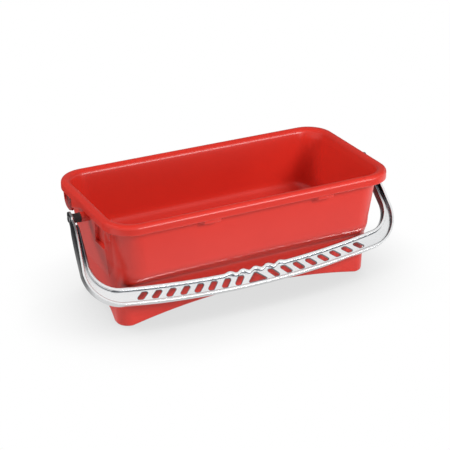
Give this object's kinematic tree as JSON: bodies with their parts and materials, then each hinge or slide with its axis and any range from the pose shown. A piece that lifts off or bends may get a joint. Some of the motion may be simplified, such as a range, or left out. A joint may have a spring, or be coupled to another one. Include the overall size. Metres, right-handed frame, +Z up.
{
  "type": "wash bucket with carry handle",
  "caption": "Long rectangular wash bucket in red plastic with a rolled rim, a narrower arched base and a perforated silver carry handle that swings over it on pivot pins.",
  "frame": {"origin": "centre of the object's bottom, on the floor under the middle of the bucket", "axes": "+X along the bucket's length, the handle rests at the front (-Y), +Z up"},
  "size_m": [0.556, 0.25, 0.19],
  "materials": {
    "bucket_plastic": "glossy moulded red",
    "handle_silver": "bright satin silver",
    "pin_steel": "brushed",
    "spacer_plastic": "matte black"
  },
  "bodies": {
    "bucket": {"bucket_body": "bucket_plastic", "pivot_pin_left": "pin_steel", "pivot_pin_right": "pin_steel", "pivot_spacer_left": "spacer_plastic", "pivot_spacer_right": "spacer_plastic"},
    "handle": {"carry_handle": "handle_silver"}
  },
  "joints": [
    {"name": "handle_swing", "type": "hinge", "parent": "bucket", "child": "handle", "pos_m": [0, 0, 0.163], "axis": [-1, 0, 0], "range_deg": [0, 270.9]}
  ]
}
